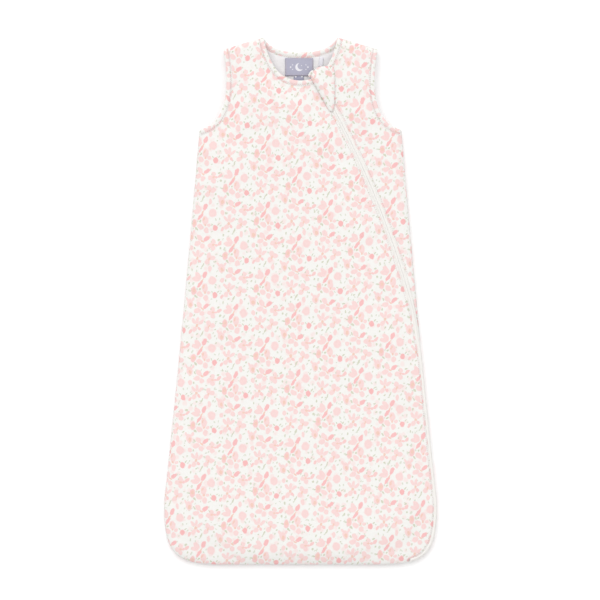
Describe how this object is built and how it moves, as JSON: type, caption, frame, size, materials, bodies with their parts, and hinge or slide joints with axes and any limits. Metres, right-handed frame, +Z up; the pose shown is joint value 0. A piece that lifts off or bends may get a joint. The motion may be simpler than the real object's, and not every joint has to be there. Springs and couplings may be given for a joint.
{
  "type": "baby sleeping bag",
  "caption": "Sleeveless padded baby sleeping bag with bound neck and armholes, and a curved front zip under a cloth cover that continues down the side seam.",
  "frame": {"origin": "middle of the underside, where the bag lies on its back", "axes": "+Y runs from the hem to the neck, +X is the viewer's right, +Z is up, out of the front"},
  "size_m": [0.4096, 0.792, 0.019],
  "materials": {
    "printed_cotton": "matt woven cotton printed with small pink flowers on ivory",
    "padding": "soft polyester wadding",
    "lining_jersey": "matt fine cotton jersey",
    "zip_tape": "close woven tape",
    "zip_coil": "satin nylon coil",
    "woven_label": "fine woven satin label",
    "care_label": "thin white satin tape",
    "slider_metal": "satin nickel"
  },
  "bodies": {
    "root": {"back_shell": "printed_cotton", "back_padding": "padding", "back_lining": "lining_jersey", "front_shell": "printed_cotton", "front_padding": "padding", "front_lining": "lining_jersey", "side_shell": "printed_cotton", "side_padding": "padding", "side_lining": "lining_jersey", "neck_binding": "printed_cotton", "armhole_binding_left": "printed_cotton", "armhole_binding_right": "printed_cotton", "zip_tape_side": "zip_tape", "zip_coil_side": "zip_coil", "zip_tape_lower": "zip_tape", "zip_coil_lower": "zip_coil", "zip_top_stop_side": "zip_coil", "zip_bottom_stop": "zip_coil", "zip_guard": "lining_jersey", "woven_label": "woven_label", "size_label": "woven_label", "care_label": "care_label"},
    "front_flap": {"flap_shell": "printed_cotton", "flap_padding": "padding", "flap_lining": "lining_jersey", "neck_binding_flap": "printed_cotton", "zip_tape_flap": "zip_tape", "zip_coil_flap": "zip_coil", "zip_top_stop_flap": "zip_coil", "zip_cover_base": "printed_cotton"},
    "zip_cover": {"zip_cover": "printed_cotton"},
    "zip_slider": {"slider_body": "slider_metal", "slider_bridge": "slider_metal"},
    "zip_pull": {"pull_pin": "slider_metal", "pull_tab": "slider_metal"}
  },
  "joints": [
    {"name": "zip_slide", "type": "hinge", "parent": "root", "child": "zip_slider", "pos_m": [-1.20302, -0.37943, 0.0128], "axis": [0, 0, -1], "range_deg": [0, 14.93]},
    {"name": "flap_fold", "type": "hinge", "parent": "root", "child": "front_flap", "pos_m": [-0.044, 0.362, 0.0148], "axis": [0.5084, -0.8611, 0], "range_deg": [0, 120], "deforming": ["zip_tape_flap", "zip_coil_flap"]},
    {"name": "cover_fold", "type": "hinge", "parent": "front_flap", "child": "zip_cover", "pos_m": [0.02224, 0.3383, 0.0177], "axis": [-0.8634, -0.5045, 0], "range_deg": [0, 150]},
    {"name": "pull_swing", "type": "hinge", "parent": "zip_slider", "child": "zip_pull", "pos_m": [0.02717, 0.32982, 0.0163], "axis": [-0.8663, -0.4995, 0], "range_deg": [0, 150]}
  ],
  "couplings": [
    {"joint": "flap_fold", "follows": "zip_slide", "ratio": 8.0379},
    {"joint": "pull_swing", "follows": "cover_fold", "ratio": 1}
  ]
}
